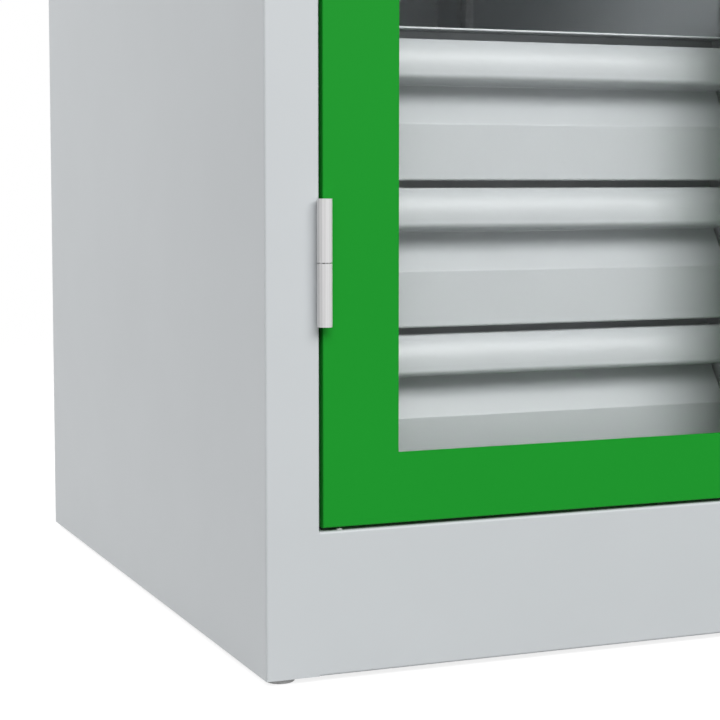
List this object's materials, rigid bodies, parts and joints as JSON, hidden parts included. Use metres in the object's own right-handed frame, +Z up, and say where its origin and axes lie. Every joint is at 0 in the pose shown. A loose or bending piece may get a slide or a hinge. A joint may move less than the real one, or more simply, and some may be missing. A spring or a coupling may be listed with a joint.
{
  "type": "storage cabinet",
  "caption": "Free-standing sheet-steel storage cabinet with framed window doors on barrel hinges, inner drawers on telescopic slides, shelves and levelling feet.",
  "frame": {"origin": "middle of the footprint on the floor", "axes": "+X to the right of someone facing the doors, +Y to the back, +Z up"},
  "size_m": [1, 0.797, 1.2],
  "materials": {
    "grey_paint": "satin powder coat, light grey",
    "green_paint": "satin powder coat, mid green",
    "zinc_steel": "zinc-plated steel",
    "clear_pane": "clear acrylic sheet",
    "black_rubber": "soft black rubber",
    "black_plastic": "matt black moulding",
    "light_plastic": "light grey moulding",
    "white_plastic": "white moulding",
    "bright_metal": "plated lock barrel"
  },
  "bodies": {
    "carcass": {"left_side_panel": "grey_paint", "right_side_panel": "grey_paint", "back_panel": "grey_paint", "top_panel": "grey_paint", "floor_panel": "grey_paint", "plinth": "grey_paint", "partition": "grey_paint", "drawer_insert": "grey_paint", "shelf_uprights": "zinc_steel", "shelf_clips": "zinc_steel", "left_shelf": "grey_paint", "right_lower_shelf": "grey_paint", "right_upper_shelf": "grey_paint", "drawer_rails": "zinc_steel", "foot_sockets": "zinc_steel", "frame_knuckles": "grey_paint", "hinge_pins": "zinc_steel", "sill_glides": "white_plastic"},
    "left_door": {"left_door_skin": "green_paint", "left_door_inner_frame": "green_paint", "left_door_gasket": "black_rubber", "left_door_pane": "clear_pane", "left_door_screws": "zinc_steel", "left_door_knuckles": "grey_paint", "left_lock_case": "zinc_steel", "left_handle_plate": "black_plastic"},
    "left_handle": {"left_handle_lever": "black_plastic", "left_handle_spindle": "zinc_steel"},
    "left_key": {"left_key_barrel": "bright_metal"},
    "left_upper_bolt": {"left_upper_rod": "zinc_steel"},
    "left_lower_bolt": {"left_lower_rod": "zinc_steel"},
    "right_door": {"right_door_skin": "green_paint", "right_door_inner_frame": "green_paint", "right_door_gasket": "black_rubber", "right_door_pane": "clear_pane", "right_door_screws": "zinc_steel", "right_door_knuckles": "grey_paint", "right_lock_case": "zinc_steel", "right_handle_plate": "black_plastic"},
    "right_handle": {"right_handle_lever": "black_plastic", "right_handle_spindle": "zinc_steel"},
    "right_key": {"right_key_barrel": "bright_metal"},
    "right_upper_bolt": {"right_upper_rod": "zinc_steel"},
    "right_lower_bolt": {"right_lower_rod": "zinc_steel"},
    "front_left_leveller": {"front_left_foot": "light_plastic"},
    "front_right_leveller": {"front_right_foot": "light_plastic"},
    "rear_left_leveller": {"rear_left_foot": "light_plastic"},
    "rear_right_leveller": {"rear_right_foot": "light_plastic"},
    "drawer_1": {"drawer_1_front": "grey_paint", "drawer_1_tray": "grey_paint", "drawer_1_inner_rails": "zinc_steel"},
    "drawer_1_slides": {"drawer_1_middle_rails": "zinc_steel"},
    "drawer_2": {"drawer_2_front": "grey_paint", "drawer_2_tray": "grey_paint", "drawer_2_inner_rails": "zinc_steel"},
    "drawer_2_slides": {"drawer_2_middle_rails": "zinc_steel"},
    "drawer_3": {"drawer_3_front": "grey_paint", "drawer_3_tray": "grey_paint", "drawer_3_inner_rails": "zinc_steel"},
    "drawer_3_slides": {"drawer_3_middle_rails": "zinc_steel"}
  },
  "joints": [
    {"name": "left_door_hinge", "type": "hinge", "parent": "carcass", "child": "left_door", "pos_m": [-0.4528, -0.3589, 0.63875], "axis": [0, 0, -1], "range_deg": [0, 180]},
    {"name": "left_handle_turn", "type": "hinge", "parent": "left_door", "child": "left_handle", "pos_m": [-0.0342, -0.3715, 0.63875], "axis": [0, 1, 0], "range_deg": [0, 90]},
    {"name": "left_key_turn", "type": "hinge", "parent": "left_handle", "child": "left_key", "pos_m": [-0.0342, -0.3915, 0.63875], "axis": [0, 1, 0], "range_deg": [0, 90]},
    {"name": "left_upper_bolt_slide", "type": "slide", "parent": "left_door", "child": "left_upper_bolt", "axis": [0, 0, 1], "range_m": [0, 0.01885]},
    {"name": "left_lower_bolt_slide", "type": "slide", "parent": "left_door", "child": "left_lower_bolt", "axis": [0, 0, -1], "range_m": [0, 0.01885]},
    {"name": "right_door_hinge", "type": "hinge", "parent": "carcass", "child": "right_door", "pos_m": [0.4528, -0.3589, 0.63875], "axis": [0, 0, 1], "range_deg": [0, 180]},
    {"name": "right_handle_turn", "type": "hinge", "parent": "right_door", "child": "right_handle", "pos_m": [0.0342, -0.3715, 0.63875], "axis": [0, -1, 0], "range_deg": [0, 90]},
    {"name": "right_key_turn", "type": "hinge", "parent": "right_handle", "child": "right_key", "pos_m": [0.0342, -0.3915, 0.63875], "axis": [0, 1, 0], "range_deg": [0, 90]},
    {"name": "right_upper_bolt_slide", "type": "slide", "parent": "right_door", "child": "right_upper_bolt", "axis": [0, 0, 1], "range_m": [0, 0.01885]},
    {"name": "right_lower_bolt_slide", "type": "slide", "parent": "right_door", "child": "right_lower_bolt", "axis": [0, 0, -1], "range_m": [0, 0.01885]},
    {"name": "front_left_foot_turn", "type": "hinge", "parent": "carcass", "child": "front_left_leveller", "pos_m": [-0.4822, -0.3323, 0.02], "axis": [0, 0, 1], "continuous": true},
    {"name": "front_right_foot_turn", "type": "hinge", "parent": "carcass", "child": "front_right_leveller", "pos_m": [0.4822, -0.3323, 0.02], "axis": [0, 0, 1], "continuous": true},
    {"name": "rear_left_foot_turn", "type": "hinge", "parent": "carcass", "child": "rear_left_leveller", "pos_m": [-0.4822, 0.37655, 0.02], "axis": [0, 0, 1], "continuous": true},
    {"name": "rear_right_foot_turn", "type": "hinge", "parent": "carcass", "child": "rear_right_leveller", "pos_m": [0.4822, 0.37655, 0.02], "axis": [0, 0, 1], "continuous": true},
    {"name": "drawer_1_travel", "type": "slide", "parent": "carcass", "child": "drawer_1", "axis": [0, -1, 0], "range_m": [0, 0.6]},
    {"name": "drawer_1_slides_travel", "type": "slide", "parent": "carcass", "child": "drawer_1_slides", "axis": [0, -1, 0], "range_m": [0, 0.3]},
    {"name": "drawer_2_travel", "type": "slide", "parent": "carcass", "child": "drawer_2", "axis": [0, -1, 0], "range_m": [0, 0.6]},
    {"name": "drawer_2_slides_travel", "type": "slide", "parent": "carcass", "child": "drawer_2_slides", "axis": [0, -1, 0], "range_m": [0, 0.3]},
    {"name": "drawer_3_travel", "type": "slide", "parent": "carcass", "child": "drawer_3", "axis": [0, -1, 0], "range_m": [0, 0.6]},
    {"name": "drawer_3_slides_travel", "type": "slide", "parent": "carcass", "child": "drawer_3_slides", "axis": [0, -1, 0], "range_m": [0, 0.3]}
  ],
  "couplings": [
    {"joint": "left_upper_bolt_slide", "follows": "left_handle_turn", "m_per_rad": 0.012},
    {"joint": "left_lower_bolt_slide", "follows": "left_handle_turn", "m_per_rad": 0.012},
    {"joint": "right_upper_bolt_slide", "follows": "right_handle_turn", "m_per_rad": 0.012},
    {"joint": "right_lower_bolt_slide", "follows": "right_handle_turn", "m_per_rad": 0.012},
    {"joint": "drawer_1_travel", "follows": "left_door_hinge", "m_per_rad": 0.084},
    {"joint": "drawer_1_slides_travel", "follows": "left_door_hinge", "m_per_rad": 0.042},
    {"joint": "drawer_2_travel", "follows": "left_door_hinge", "m_per_rad": 0.056},
    {"joint": "drawer_2_slides_travel", "follows": "left_door_hinge", "m_per_rad": 0.028},
    {"joint": "drawer_3_travel", "follows": "left_door_hinge", "m_per_rad": 0.028},
    {"joint": "drawer_3_slides_travel", "follows": "left_door_hinge", "m_per_rad": 0.014}
  ]
}
